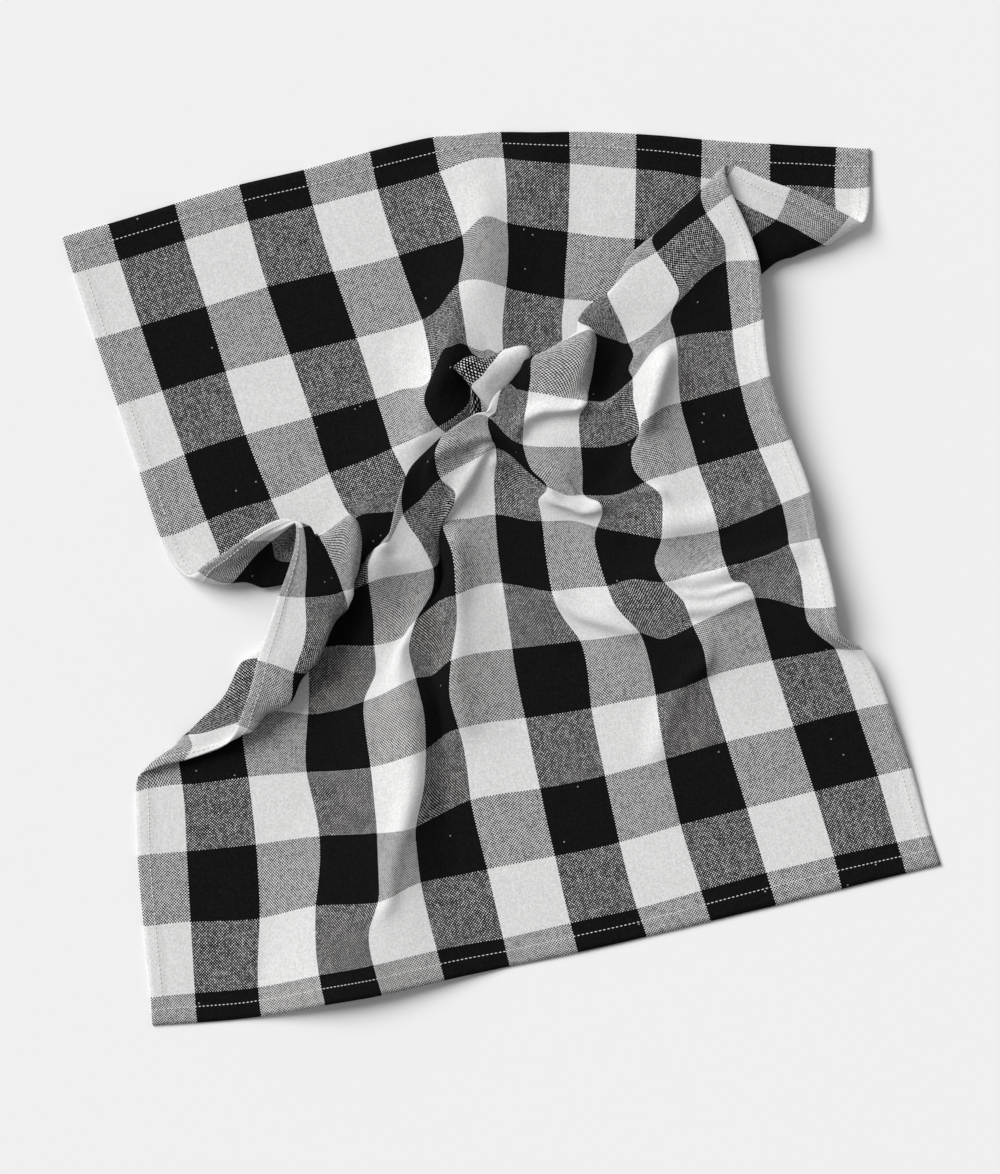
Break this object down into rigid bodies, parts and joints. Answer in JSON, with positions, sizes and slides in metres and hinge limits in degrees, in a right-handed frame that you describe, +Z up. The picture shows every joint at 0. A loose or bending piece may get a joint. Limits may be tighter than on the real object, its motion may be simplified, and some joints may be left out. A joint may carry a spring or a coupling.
{
  "type": "tea towel",
  "caption": "Woven check tea towel with a narrow hem all round, pinched up in the middle and dropped flat, with one diagonal fold across it.",
  "frame": {"origin": "on the surface it rests on, under the middle of the towel's box", "axes": "+Z up; X across and Y along the towel as it lies seen from above, the flat upper end towards +Y"},
  "size_m": [0.536, 0.5468, 0.0319],
  "materials": {
    "check_cotton": "matt plain-weave cotton in a dark and pale check"
  },
  "bodies": {
    "root": {"tea_towel": "check_cotton"}
  },
  "joints": []
}
